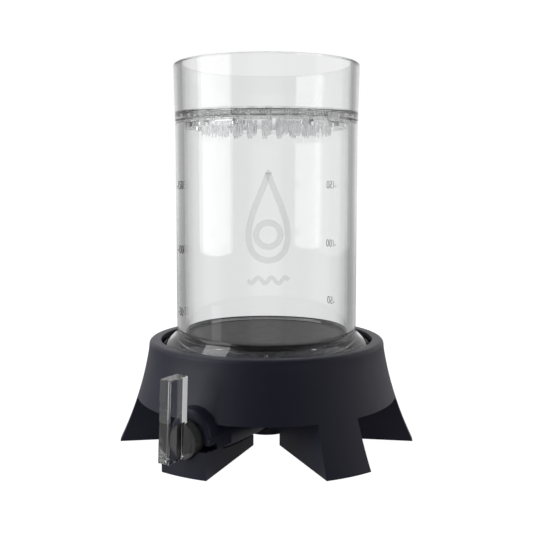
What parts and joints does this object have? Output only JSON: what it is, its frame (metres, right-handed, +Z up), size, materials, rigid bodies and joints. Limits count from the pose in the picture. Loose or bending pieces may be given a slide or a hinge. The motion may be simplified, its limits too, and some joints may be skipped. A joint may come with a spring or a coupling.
{
  "type": "flow-control coffee dripper",
  "caption": "Clear straight brew tube with volume marks on a flared black footed base, with a side lever valve and a clear drip-nozzle spreader cup on top.",
  "frame": {"origin": "middle of the whole footprint, lever included, on the surface that the feet stand on; the tube's own axis is 2 mm behind it", "axes": "+Z up along the tube; -Y is the front, where the valve lever stands to the left of the middle; +X to the right of a person who faces the front"},
  "size_m": [0.1004, 0.0981, 0.1263],
  "materials": {
    "black_plastic": "fine matte moulded",
    "dark_acetal": "satin turned",
    "clear_copolyester": "polished clear plastic",
    "stainless_steel": "woven or stamped",
    "black_silicone": "matte"
  },
  "bodies": {
    "base": {"base_shell": "black_plastic", "drain_funnel": "black_plastic", "outlet_spout": "black_plastic", "filter_support_grid": "black_plastic", "filter_mesh": "stainless_steel", "filter_gasket": "black_silicone", "base_screw_1": "stainless_steel", "base_screw_2": "stainless_steel", "base_screw_3": "stainless_steel"},
    "valve": {"valve_plug": "dark_acetal", "valve_knob": "dark_acetal", "valve_lever": "clear_copolyester", "plug_o_ring_outer": "black_silicone", "plug_o_ring_inner": "black_silicone", "valve_retaining_clip": "stainless_steel"},
    "chamber": {"brew_chamber": "clear_copolyester"},
    "cap": {"dispersion_cap": "clear_copolyester"}
  },
  "joints": [
    {"name": "valve_turn", "type": "hinge", "parent": "base", "child": "valve", "pos_m": [0, 0.002, 0.0113], "axis": [0.5, 0.866, 0], "range_deg": [0, 90]},
    {"name": "chamber_twist", "type": "hinge", "parent": "base", "child": "chamber", "pos_m": [0, 0.002, 0], "axis": [0, 0, 1], "range_deg": [0, 30]},
    {"name": "cap_lift", "type": "slide", "parent": "chamber", "child": "cap", "axis": [0, 0, 1], "range_m": [0, 0.03]}
  ]
}
